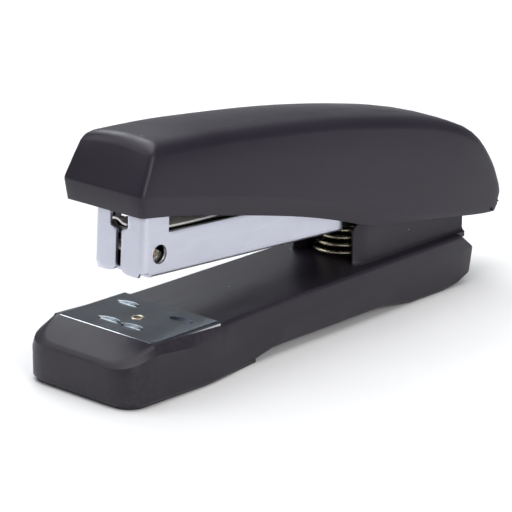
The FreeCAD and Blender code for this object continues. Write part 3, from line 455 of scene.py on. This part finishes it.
# ---------------------------------------------------------------- cover
def make_cover():
    rim = rail([(-57.0, 39.4, 11.45), (-48.3, 38.1, 11.4), (-29.1, 34.1, 11.35), (-5.8, 28.6, 11.35),
                (6.9, 24.8, 11.4), (15.0, 22.1, 11.5), (20.1, 21.0, 11.6), (28, 20.0, 11.75),
                (40.1, 18.3, 11.85), (60.1, 15.4, 11.6), (63.0, 15.2, 11.3)])
    crease = rail([(-57.4, 44.1, 12.05), (-30.2, 38.5, 12.0), (-7, 33.0, 12.0), (7.7, 28.5, 11.95),
                   (15.8, 25.6, 11.9), (24.7, 23.2, 11.85), (35, 20.9, 11.87), (48, 18.6, 11.87),
                   (64.1, 16.8, 11.4)])
    top = rail([(-52.3, 53.55, 10.6), (-37.4, 52.9, 10.75), (-19.5, 51.3, 10.8), (-0.7, 49.2, 10.8),
                (14, 47.0, 10.8), (24.2, 45.2, 10.8), (34.6, 43.1, 10.8), (45.3, 40.3, 10.8),
                (53.4, 37.2, 10.75), (57.9, 34.2, 10.7), (60.6, 31.4, 10.65), (62.9, 28.3, 10.6),
                (64.9, 24.6, 10.5), (66.3, 20.0, 10.4)])
    stations = [(-57.0, -57.4, -52.4), (-53.0, -53.2, -49.5), (-48.0, -48.0, -46.5)]
    stations += [(y, y, y) for y in range(-43, 50, 4)]
    stations += [(53, 53, 53), (55.5, 55.7, 55.8), (57.6, 58.0, 58.2), (59.2, 59.9, 60.5),
                 (60.9, 61.6, 62.4), (61.9, 62.8, 63.9), (62.6, 63.7, 65.2), (63.0, 64.1, 66.3)]
    bm = bmesh.new()
    bm.edges.layers.float.new("bevel_weight_edge")
    across = (-1.0, -0.66, -0.33, 0.0, 0.33, 0.66, 1.0)

    def column(station):
        """Points up the right side at one station: rim, crease, middle and top edge."""
        low = (rim(station[0])[1], station[0], rim(station[0])[0])
        fold = (crease(station[1])[1], station[1], crease(station[1])[0])
        high = (top(station[2])[1], station[2], top(station[2])[0])
        middle = tuple((a + b) / 2 for a, b in zip(fold, high))
        return [low, fold, (middle[0] + 0.12, middle[1], middle[2]), high]

    def vertex(x, y, z, share):
        return bm.verts.new((x * share, y, z))

    columns = [column(station) for station in stations]
    sides = {share: [[vertex(*point, share) for point in points] for points in columns]
             for share in (-1.0, 1.0)}
    tops = []
    for k, points in enumerate(columns):
        x, y, z = points[3]
        crown = 1.0 - 0.5 * max(0.0, (y - 40) / 26)
        row = []
        for share in across:
            if abs(share) == 1.0:
                row.append(sides[share][k][3])
            else:
                row.append(bm.verts.new((x * share, y, z + crown * (1 - share ** 2))))
        tops.append(row)
    for low, high in zip(tops, tops[1:]):
        for i in range(len(across) - 1):
            bm.faces.new((low[i], low[i + 1], high[i + 1], high[i]))
    for share, grid in sides.items():
        for a, b in zip(grid, grid[1:]):
            for i in range(3):
                bm.faces.new((a[i], b[i], b[i + 1], a[i + 1]))

    def end_face(k):
        rows = []
        for i in range(3):
            x, y, z = columns[k][i]
            row = []
            for share in across:
                if abs(share) == 1.0:
                    row.append(sides[share][k][i])
                else:
                    row.append(bm.verts.new((x * share, y, z)))
            rows.append(row)
        rows.append(tops[k])
        for low, high in zip(rows, rows[1:]):
            for i in range(len(across) - 1):
                bm.faces.new((low[i], low[i + 1], high[i + 1], high[i]))
        return rows

    front = end_face(0)
    rear = end_face(len(columns) - 1)

    def run(vertices, weight):
        for a, b in zip(vertices, vertices[1:]):
            edge = bm.edges.get((a, b))
            if edge is not None:
                weigh(bm, edge, weight(a, b) if callable(weight) else weight)

    def fading(a, b):
        middle = (a.co.y + b.co.y) / 2
        return 0.16 * min(1.0, max(0.0, (26 - middle) / 14))

    for share in (-1.0, 1.0):
        run([points[3] for points in sides[share]], 1.0)
        run([points[1] for points in sides[share]], fading)
        run(sides[share][0], 0.5)
        run(sides[share][-1], 0.4)
    run(front[1], 0.16)
    run(front[3], 1.0)
    run(rear[3], 1.0)
    cover = to_object("cover_moulding", bm, IN_ROW, [CHARCOAL])
    weight_bevel(cover, 2.4, 5)
    shell(cover, 1.6, even=False)
    angle_bevel(cover, 0.22, 2, 50)
    carried(settled(cover, 30), "handle", "charcoal_plastic", "top_cover")


# ---------------------------------------------------------------- base
def make_base():
    foot = rail([(-59.6, 16.4), (-50, 16.45), (-43, 16.4), (-37, 15.75), (-31, 14.75), (-25, 14.0),
                 (-14, 13.6), (0, 13.5), (25, 13.1), (47.8, 12.8)])
    fold = rail([(-59.6, 16.4, 8.6), (-50, 16.25, 7.2), (-43, 16.0, 6.3), (-37, 15.4, 6.3),
                 (-31, 14.8, 6.5), (-25, 14.4, 6.8), (-14, 14.25, 7.3), (-5, 14.25, 7.8),
                 (25, 13.95, 8.3), (47.8, 13.4, 8.8)])
    lip = rail([(-57.4, 15.0, 12.95), (-50, 15.05, 12.6), (-41.3, 15.05, 12.2), (-36.5, 15.0, 12.1),
                (-34, 14.7, 12.15), (-27, 14.45, 12.25), (-14, 14.3, 12.4), (0, 14.2, 12.5),
                (8, 14.1, 12.6), (25, 13.8, 12.6), (45.8, 13.5, 12.6)])
    ground = rail([(-66, 0.12), (-31, 0.12), (-26, 0.5), (-22.5, 1.15), (-19, 1.75), (-15, 1.9),
                   (15, 1.9), (20, 1.85), (25, 1.0), (29, 0.2), (44, 0.2), (48, 0.7), (52.5, 2.4)])

    def slope(y):
        return 9.6 + 3.35 * min(max((y + 65.5) / 8.1, 0.0), 1.0)

    steps = 7
    feet = [(0, -66.1), (5, -66.1)] + arc((9.6, -66.1), (16.4, -66.1), (16.4, -59.6), steps)
    lips = [(0, -65.5), (4.0, -65.45)] + arc((7.4, -65.4), (13.0, -65.3), (14.5, -59.6), steps)
    around = []
    for low, high in zip(feet, lips):
        fold_z = 7.2 + 1.4 * min(1.0, (low[1] + 66.1) / 6.5)
        around.append([(*low, ground(low[1])[0]), (*low, fold_z), (*high, slope(high[1]))])
    front, rear, seat = -57.33, -37.0, 11.88
    hole = (-49.0, -45.4)
    nose_end = len(around)
    step = 0.03
    for y in [front, front + step, -54, -51.5, hole[0], hole[1], -43, -40, rear - step, rear, -34, -31,
              -28, -25, -22, -19, -15, -10, -5, 0, 5, 10, 15, 20, 25, 30, 35, 40, 44, 47.8]:
        tail = min(y, 45.8)
        around.append([(foot(y)[0], y, ground(y)[0]), (fold(y)[0], y, fold(y)[1]),
                       (lip(tail)[0], tail, lip(tail)[1])])
    tail_start = len(around) - 1
    feet = arc((12.8, 50.6), (12.8, 52.7), (10.7, 52.7), steps)[1:] + [(5, 52.7), (0, 52.7)]
    folds = arc((13.3, 51.3), (13.3, 52.95), (11.6, 52.95), steps)[1:] + [(5.4, 52.95), (0, 52.95)]
    lips = arc((13.5, 45.8), (13.4, 48.6), (10.8, 48.7), steps)[1:] + [(5, 48.7), (0, 48.7)]
    for low, middle, high in zip(feet, folds, lips):
        around.append([(*low, ground(low[1])[0]), (*middle, 8.9), (*high, 12.6)])

    bm = bmesh.new()
    bm.edges.layers.float.new("bevel_weight_edge")

    def rows(k, side):
        """Points up the wall, and for the flat part of the top, points in across it."""
        (x, y, z), middle, (lip_x, lip_y, lip_z) = around[k]
        inset = 0.55 + 0.35 * min(1.0, max(0.0, (-38 - y) / 20))
        ahead = min(1.0, max(0.0, (-59.6 - y) / 6.5))
        behind = min(1.0, max(0.0, (y - 47.8) / 4.5))
        toe = (max(x - inset * (1 - 0.5 * ahead), 0.0), y + inset * (ahead - behind), z)
        seated = nose_end <= k <= tail_start and front + 0.01 < lip_y < rear - 0.01
        ledge = 12.95 - 0.90 * (lip_y - front) / (rear - front)
        upper = (lip_x, lip_y, ledge if seated else lip_z)
        swell = min(1.0, max(0.0, (-30 - y) / 12))
        shoulder = [(a + b) / 2 for a, b in zip(middle, upper)]
        shoulder[0] += 0.75 * swell * min(1.0, x / 9.0)
        shoulder[1] -= 0.25 * ahead
        shoulder[2] += 0.4 * swell
        whole = [toe, (x, y, z + inset * 1.3), middle, shoulder, upper]
        if nose_end <= k <= tail_start:
            edge = 13.75 if seated else lip_x - 1.1
            top = seat if seated else lip_z
            whole += [(edge, lip_y, upper[2]), (edge - (0.0 if seated else 0.3), lip_y, top),
                      (1.8, lip_y, top)]
        return [bm.verts.new((px * side, py, pz)) for px, py, pz in whole]

    count = len(around)
    right = [rows(k, 1.0) for k in range(count)]
    left = [right[k] if k in (0, count - 1) else rows(k, -1.0) for k in range(count)]
    for grid in (right, left):
        for a, b in zip(grid, grid[1:]):
            for i in range(min(len(a), len(b)) - 1):
                bm.faces.new((a[i], b[i], b[i + 1], a[i + 1]))
    for k in range(nose_end, tail_start):
        if not hole[0] - 0.1 < around[k][2][1] < hole[1] - 0.1:
            bm.faces.new((right[k][-1], right[k + 1][-1], left[k + 1][-1], left[k][-1]))
    for part, end in ((range(0, nose_end), nose_end), (range(count - 1, tail_start, -1), tail_start)):
        loop = [right[k][4] for k in part] + right[end][4:] + left[end][4:][::-1]
        loop += [left[k][4] for k in part][::-1]
        bm.faces.new(list(dict.fromkeys(loop)))
    for grid in (right, left):
        for a, b in zip(grid, grid[1:]):
            y = (a[4].co.y + b[4].co.y) / 2
            if not front < y < rear:
                weigh(bm, bm.edges.get((a[4], b[4])), 0.36 if y < 40 else 0.30)
            crisp = min(1.0, max(0.0, (y + 26) / 20)) * 0.14
            weigh(bm, bm.edges.get((a[2], b[2])), crisp if y < 48 else 0.25)
    base = to_object("base_moulding", bm, IN_ROW, [CHARCOAL_BASE])
    weight_bevel(base, 2.2, 5)
    shell(base, 2.0, even=False)
    carried(settled(base, 30), "base", "charcoal_plastic", "base_shell")


def make_cheeks():
    """The two upright walls beside the hinge, with a rounded front edge and a filleted foot."""
    crest = rail([(12.8, 19.6), (13.0, 20.9), (13.6, 21.9), (14.6, 22.8), (16.2, 23.6), (20, 25.3),
                  (25, 27.3), (31, 28.9), (37, 30.2), (42, 31.0), (45, 31.2), (47.4, 31.1),
                  (49.4, 30.2), (50.8, 28.8), (51.5, 27.0), (51.6, 26.2)])
    stations = [12.8, 13.0, 13.3, 13.7, 14.2, 14.8, 15.5, 16.3, 17.2, 20, 23, 26, 30, 34, 38, 42,
                45, 47.4, 48.6, 49.6, 50.4, 51.0, 51.4, 51.6]
    for name, side in (("right_cheek", 1.0), ("left_cheek", -1.0)):
        bm = bmesh.new()
        outer, inner = [], []
        for y in stations:
            lead = max(0.0, (17.2 - y) / 4.4)
            face = 10.3 - 1.15 * lead ** 2.2
            spread = 0.8
            top = crest(y)[0]
            heights = [(11.2, spread), (12.55, spread), (12.7, spread * 0.55), (12.95, spread * 0.25),
                       (13.4, 0.0), ((13.4 + top) / 2, 0.0), (top, 0.0)]
            ahead = max(0.0, (14.0 - y) / 1.2)
            outer.append([bm.verts.new(((face + flare) * side, y - flare * min(ahead, 1.0), z))
                          for z, flare in heights])
            inner.append([bm.verts.new((8.8 * side, y - flare * min(ahead, 1.0), z))
                          for z, flare in heights])
        for grid in (outer, inner):
            for a, b in zip(grid, grid[1:]):
                for i in range(len(a) - 1):
                    bm.faces.new((a[i], b[i], b[i + 1], a[i + 1]))
        for k in range(len(stations) - 1):
            for i in (0, -1):
                bm.faces.new((outer[k][i], outer[k + 1][i], inner[k + 1][i], inner[k][i]))
        for k in (0, -1):
            for i in range(len(outer[0]) - 1):
                bm.faces.new((outer[k][i], outer[k][i + 1], inner[k][i + 1], inner[k][i]))
        cheek = to_object(name, bm, IN_ROW, [CHARCOAL_BASE])
        angle_bevel(cheek, 0.35, 3, 50)
        carried(settled(cheek, 30), "base", "charcoal_plastic", "base_shell")


# ---------------------------------------------------------------- anvil
GROOVES = [(side * x, y) for x, y in ((3.45, -52.3), (7.9, -42.1)) for side in (-1, 1)]


def groove_depth(x, y):
    depth = 0.0
    for centre_x, centre_y in GROOVES:
        u, v = (x - centre_x) / 3.4, y - centre_y
        if abs(u) >= 1.0:
            continue
        half = 1.3 * (1 - u * u) ** 0.75
        inside = 1.0 - abs(v) / max(half, 1e-3)
        depth = max(depth, 0.50 * min(max(inside * 2.4, 0.0), 1.0) * (1 - u * u) ** 0.25)
    return depth


def make_anvil():
    box_low, box_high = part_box("anvil_plate")
    half, front, rear = box_high.x / MM, box_low.y / MM, box_high.y / MM
    top, foot, bend = box_high.z / MM, box_low.z / MM, 0.8
    section = [(half, foot)]
    section += [(half - bend + bend * math.cos(t), top - bend + bend * math.sin(t))
                for t in [math.pi / 2 * i / 6 for i in range(7)]]
    flat = half - bend
    count = int(flat / 0.2)
    inner = [flat * i / count for i in range(count - 1, 0, -1)]
    profile = [(x, z) for x, z in section] + [(x, top) for x in inner] + [(0.0, top)]
    profile += [(-x, z) for x, z in reversed(profile[:-1])]
    rows = int((rear - front) / 0.2)
    bm = bmesh.new()
    grid = []
    for k in range(rows + 1):
        y = front + (rear - front) * k / rows
        drop = 0.12 if k == 0 else 0.0
        grid.append([bm.verts.new((x, y, z - (groove_depth(x, y) + drop if z > top - bend else 0.0)))
                     for x, z in profile])
    for a, b in zip(grid, grid[1:]):
        for i in range(len(profile) - 1):
            bm.faces.new((a[i], a[i + 1], b[i + 1], b[i]))
    bmesh.ops.recalc_face_normals(bm, faces=bm.faces)
    for face in bm.faces:
        if face.normal.z < 0 and abs(face.normal.z) > 0.9:
            bmesh.ops.reverse_faces(bm, faces=bm.faces)
            break
    # Painted reflection: the outer faces of the bent-down sides and the thin front strip get the
    # near-white material, and the solidified rim gets it as a bright sheared edge.
    for face in bm.faces:
        centre = face.calc_center_median()
        if abs(centre.x) > half - 0.12 or centre.y < front + 0.2:
            face.material_index = 1
    plate = to_object("anvil_striking_plate", bm, IN_ROW, [CHROME, SHEARED_EDGE_AND_PAINTED_REFLECTION])
    if plate.data.polygons[len(plate.data.polygons) // 2].normal.z < 0:
        plate.data.flip_normals()
    shell(plate, 0.9, 1)
    carried(settled(plate, 50), "anvil", "anvil_chrome", "anvil_plate")

    centre_y = (front + rear) / 2
    post_low, post_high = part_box("anvil_post")
    stem, crown = 1.55, post_high.z / MM
    post = lathe("anvil_rivet", [
        (0, post_low.z / MM), (stem - 0.2, post_low.z / MM), (stem, post_low.z / MM + 0.2),
        (stem, crown - 0.25), (1.5, crown - 0.1), (1.42, crown + 0.02), (1.2, crown + 0.06),
        (0.95, crown + 0.02), (0.8, crown - 0.14), (0.6, crown - 0.2), (0.4, crown - 0.16),
        (0.25, crown - 0.3), (0, crown - 0.34)], BRASS, (0, centre_y, 0), (0, 0, 1))
    carried(settled(post, 60), "anvil", "brass", "anvil_post")

    wire_radius = 0.225
    spring_low, spring_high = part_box("anvil_spring")
    rise = (spring_high.z - spring_low.z) / MM - 2 * wire_radius
    coil = wire("anvil_lift_coil", helix(6, 3.3, 3.3, rise, 0.12), wire_radius, PALE_WIRE,
                Matrix.Translation((0, centre_y, spring_low.z / MM + wire_radius)))
    carried(settled(coil, 60), "base", "spring_wire", "anvil_spring")
    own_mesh(coil)


# ---------------------------------------------------------------- springs of the magazine
def make_springs():
    low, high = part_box("base_spring")
    radius = 0.45
    rise = (high.z - low.z) / MM - 2 * radius
    coil = wire("magazine_lift_coil", helix(4.5, 8.05, 4.4, rise, 0.06, 40), radius, GOLD_WIRE,
                Matrix.Translation((0, 21.4, low.z / MM + radius))
                @ Matrix.Rotation(math.radians(35), 4, "Z"))
    carried(settled(coil, 60), "base", "spring_wire", "base_spring")
    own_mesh(coil)

    thin, rod = 0.225, -3.35
    front, rear = -86.45, -22.6
    place = IN_MAGAZINE @ Matrix.Translation((0, front, rod)) @ Matrix.Rotation(-math.pi / 2, 4, "X")
    coil = wire("pusher_coil", helix(34, 1.8, 1.8, rear - front, 0.03, 20), thin, PALE_WIRE, place, 8)
    carried(settled(coil, 60), "magazine", "spring_wire", "pusher_spring")
    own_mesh(coil)


def make_leaf():
    """Bowed strip with a waisted root and a tongue whose tip is curled like an S."""
    line = rail([(-99.3, 3.9), (-97.5, 3.85), (-95.6, 3.5), (-94.2, 2.75), (-92.5, 2.35),
                 (-84, 2.3), (-76, 2.45), (-64, 4.1), (-54, 6.4), (-46, 7.75), (-43, 7.85), (-38, 7.55),
                 (-28, 6.2), (-18, 4.6), (-10, 3.6), (-4, 3.15), (-1.6, 3.05)])
    width = rail([(-99.3, 2.05), (-96.4, 2.05), (-95.2, 4.4), (-94.6, 5.4), (-94.0, 5.6), (-13, 5.6),
                  (-12, 5.3), (-9, 3.4), (-8, 3.0), (-1.6, 3.0)])
    stations = [-99.3 + 0.45 * i for i in range(15)] + [-92 + 2.0 * i for i in range(39)]
    stations += [-13.2, -12, -10.8, -9.6, -8.4, -7, -5, -3, -1.6]
    across = [-1 + i / 8 for i in range(17)]
    bm = bmesh.new()
    grid = []
    for y in stations:
        share = min(1.0, max(0.0, (-95.4 - y) / 2.0))
        row = []
        for u in across:
            x = u * width(y)[0]
            curl = -0.42 * math.tanh((x - 0.1) * 1.5) - 0.55 * max(0.0, -1.5 - x) ** 1.5
            row.append(bm.verts.new((x, y, line(y)[0] + curl * share)))
        grid.append(row)
    for a, b in zip(grid, grid[1:]):
        for i in range(len(across) - 1):
            bm.faces.new((a[i], a[i + 1], b[i + 1], b[i]))
    # The strip and its eye take the pale leaf material, a painted reflection.
    strip = to_object("leaf_spring_strip", bm, IN_MAGAZINE, [LEAF_PALE_PAINTED_REFLECTION])
    if strip.data.polygons[0].normal.z < 0:
        strip.data.flip_normals()
    wall = strip.modifiers.new("wall", "SOLIDIFY")
    wall.thickness, wall.offset = 0.45 * MM, 1.0
    carried(settled(strip, 40), "return_spring", "spring_wire", "return_leaf_spring")
    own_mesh(strip)

    eye = lathe("leaf_spring_eye", [(3.02, -3.0), (3.5, -3.0), (3.62, -2.9), (3.62, 2.9), (3.5, 3.0),
                                    (3.02, 3.0), (3.02, -3.0)], LEAF_PALE_PAINTED_REFLECTION, PIN / MM, (1, 0, 0))
    carried(settled(eye, 40), "return_spring", "spring_wire", "return_leaf_spring")


def make_eyelet():
    """Tubular rivet across the rail, seen through the holes in the nose."""
    centre = IN_MAGAZINE @ Vector((0, -94.6, -2.4))
    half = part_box("rail_pin")[1].x / MM
    ends = [(0.95, half - 1.2), (0.95, half - 0.25), (1.15, half + 0.1), (1.6, half + 0.12),
            (1.62, half - 0.2), (1.6, half - 0.4)]
    profile = [(0, -half + 1.2)] + [(r, -h) for r, h in ends] + [(r, h) for r, h in reversed(ends)]
    profile += [(0, half - 1.2)]
    pin = lathe("rail_eyelet", profile, EYELET, centre, (1, 0, 0), 32)
    carried(settled(pin, 40), "magazine", "brass", "rail_pin")


# ---------------------------------------------------------------- magazine
def make_channel():
    """One bent sheet: side walls, floor, folded nose flaps with a keyhole slot, and two arms."""
    front, fold, half, sheet, flap_end = -99.45, 1.6, 7.5, 0.8, 5.9
    hole_y, hole_z, hole_radius, cell = -94.6, -2.4, 2.1, 0.625
    flap = [0.0, 0.18, 0.36, 0.66, 0.88, 1.0]
    turn = [math.pi / 2 * i / 6 for i in range(1, 7)]
    side = [hole_y - 4 * cell + cell * i for i in range(9)]
    side += [-91, -88, -80, -70, -60, -50, -42, -37, -35.5]
    arm = [-30, -20, -10, -6, -3, 0, 1.5, 2.8, 3.7, 4.2]
    grid_z = [hole_z + 4 * cell - cell * i for i in range(9)]
    heights = [6.6, 5.0, 3.1, 2.75, 2.4, 2.0, 1.0] + grid_z + [-5.6, -6.4]
    top_row, bottom_row, arm_row = heights.index(2.0), len(heights) - 1, 7 + 6
    slot = rail([(-9, 0.8), (2.3, 0.8), (2.45, 1.3), (2.75, 2.2), (3.1, 2.65), (9, 2.65)])
    hem = rail([(0.0, -6.1), (0.18, -6.8), (0.36, -7.05), (0.66, -7.15), (1.0, -7.15), (1.08, -6.6),
                (1.25, -6.0), (2.0, -6.0)])
    bm = bmesh.new()
    for sign in (1.0, -1.0):
        columns = []
        for share in flap:
            foot = hem(share)[0]
            heights_here = heights[:-2] + [(heights[-3] + foot) / 2, foot]
            columns.append([(slot(z)[0] + (flap_end - slot(z)[0]) * share, front, z)
                            for z in heights_here])
        for angle in turn:
            foot = hem(1.0 + angle / (math.pi / 2))[0]
            heights_here = heights[:-2] + [(heights[-3] + foot) / 2, foot]
            x = flap_end + fold * math.sin(angle)
            columns.append([(x, front + fold * (1 - math.cos(angle)), z) for z in heights_here])
        first_side = len(columns)
        columns += [[(half, y, z) for z in heights] for y in side]
        first_arm = len(columns)
        for y in arm:
            end = max(0.0, (y - 1.4) / 2.8)
            squeeze = math.sqrt(max(0.0, 1 - end * end)) * 0.75 + 0.25
            lift = 1.0 + 0.75 * min(1.0, max(0.0, (y + 8) / 8))
            columns.append([(half, y, (z * lift if z > 0 else z) * squeeze) for z in heights])
        grid = [[bm.verts.new((x * sign, y, z)) for x, y, z in column] for column in columns]
        nose_rear = first_side + 8
        for c in range(len(grid) - 1):
            low = 0 if c < nose_rear else top_row
            high = bottom_row if c + 1 < first_arm else arm_row
            for r in range(low, high):
                if first_side <= c < nose_rear and 7 <= r < 7 + 8:
                    continue
                bm.faces.new((grid[c][r], grid[c + 1][r], grid[c + 1][r + 1], grid[c][r + 1]))
        around = [(c, 0) for c in range(8)] + [(8, r) for r in range(8)]
        around += [(c, 8) for c in range(8, 0, -1)] + [(0, r) for r in range(8, 0, -1)]
        rings = [[grid[first_side + c][7 + r] for c, r in around]]
        for share in (0.6, 0.0):
            ring = []
            for vertex in rings[0]:
                away = Vector((0, vertex.co.y - hole_y, vertex.co.z - hole_z))
                round_point = away.normalized() * hole_radius
                point = round_point + (away - round_point) * share
                ring.append(bm.verts.new((half * sign, hole_y + point.y, hole_z + point.z)))
            rings.append(ring)
        for outer, inner in zip(rings, rings[1:]):
            for i in range(len(outer)):
                j = (i + 1) % len(outer)
                bm.faces.new((outer[i], outer[j], inner[j], inner[i]))
        previous = [grid[c][bottom_row] for c in range(first_side, first_arm)]
        for angle in [math.pi / 2 * i / 4 for i in range(1, 5)]:
            ring = [bm.verts.new(((half - sheet * (1 - math.cos(angle))) * sign, vertex.co.y,
                                  heights[-1] - sheet * math.sin(angle))) for vertex in previous]
            for a, b, c, d in zip(previous, previous[1:], ring[1:], ring):
                bm.faces.new((a, b, c, d))
            previous = ring
        centre = [bm.verts.new((0, vertex.co.y, vertex.co.z)) for vertex in previous]
        for a, b, c, d in zip(previous, previous[1:], centre[1:], centre):
            bm.faces.new((a, b, c, d))
    bmesh.ops.remove_doubles(bm, verts=bm.verts, dist=1e-4)
    loose = [vertex for vertex in bm.verts if not vertex.link_faces]
    bmesh.ops.delete(bm, geom=loose, context="VERTS")
    channel = to_object("magazine_sheet", bm, IN_MAGAZINE, [NICKEL])
    for face in channel.data.polygons:
        if face.center.x > (half - 0.1) * MM and abs(face.normal.x) > 0.9:
            if face.normal.x < 0:
                channel.data.flip_normals()
            break
    shell(channel, sheet)
    angle_bevel(channel, 0.10, 2)
    carried(settled(channel), "magazine", "nickel_steel", "magazine_channel")


# ---------------------------------------------------------------- everything else
def make_rest():
    for node, body, slot, material, width in (
        ("base_plate", "base", "bare_steel", STEEL, 0.12),
        ("base_plate_screws", "base", "bare_steel", PALE_WIRE, 0.15),
        ("front_pad", "base", "pad_rubber", RUBBER, 0.25),
        ("rear_pad", "base", "pad_rubber", RUBBER, 0.25),
        ("hinge_bracket", "base", "bare_steel", STEEL, 0.15),
        ("bracket_screws", "base", "bare_steel", PALE_WIRE, 0.12),
        ("pivot_pin", "base", "nickel_steel", PALE_WIRE, 0.25),
        ("pivot_clips", "base", "bare_steel", STEEL, 0.10),
        ("anvil_button", "anvil", "black_nylon", NYLON, 0.35),
        ("staple_rail", "magazine", "bare_steel", DARK_STEEL, 0.10),
        ("rail_rivets", "magazine", "nickel_steel", PALE_WIRE, 0.10),
        ("guide_rod", "magazine", "bare_steel", PALE_WIRE, 0.15),
        ("end_block", "magazine", "black_nylon", NYLON, 0.25),
        ("pusher", "follower", "black_nylon", NYLON, 0.12),
        ("block_pin", "magazine", "nickel_steel", PALE_WIRE, 0.12),
        ("leaf_bush", "return_spring", "brass", BRASS, 0.12),
        ("handle_frame", "handle", "bare_steel", STEEL, 0.12),
        # The driver blade and its rivets use the darker steel as painted shade, for the shade under the
        # cover.
        ("driver_blade", "handle", "bare_steel", DARK_STEEL, 0.06),
        ("driver_rivets", "handle", "nickel_steel", DARK_STEEL, 0.12),
        ("leaf_pin", "handle", "bare_steel", PALE_WIRE, 0.15),
        ("cover_screws", "handle", "bare_steel", PALE_WIRE, 0.12),
    ):
        refined(node, body, slot, material, width)


def make_floor():
    bm = bmesh.new()
    bmesh.ops.create_circle(bm, cap_ends=True, segments=96, radius=3000)
    floor = to_object("floor", bm, IN_ROW, [pale_floor("pale_paper")])
    if floor.data.polygons[0].normal.z < 0:
        floor.data.flip_normals()


make_camera()
make_studio()
make_floor()
make_cover()
make_base()
make_cheeks()
make_anvil()
make_springs()
make_leaf()
make_eyelet()
make_channel()
make_rest()
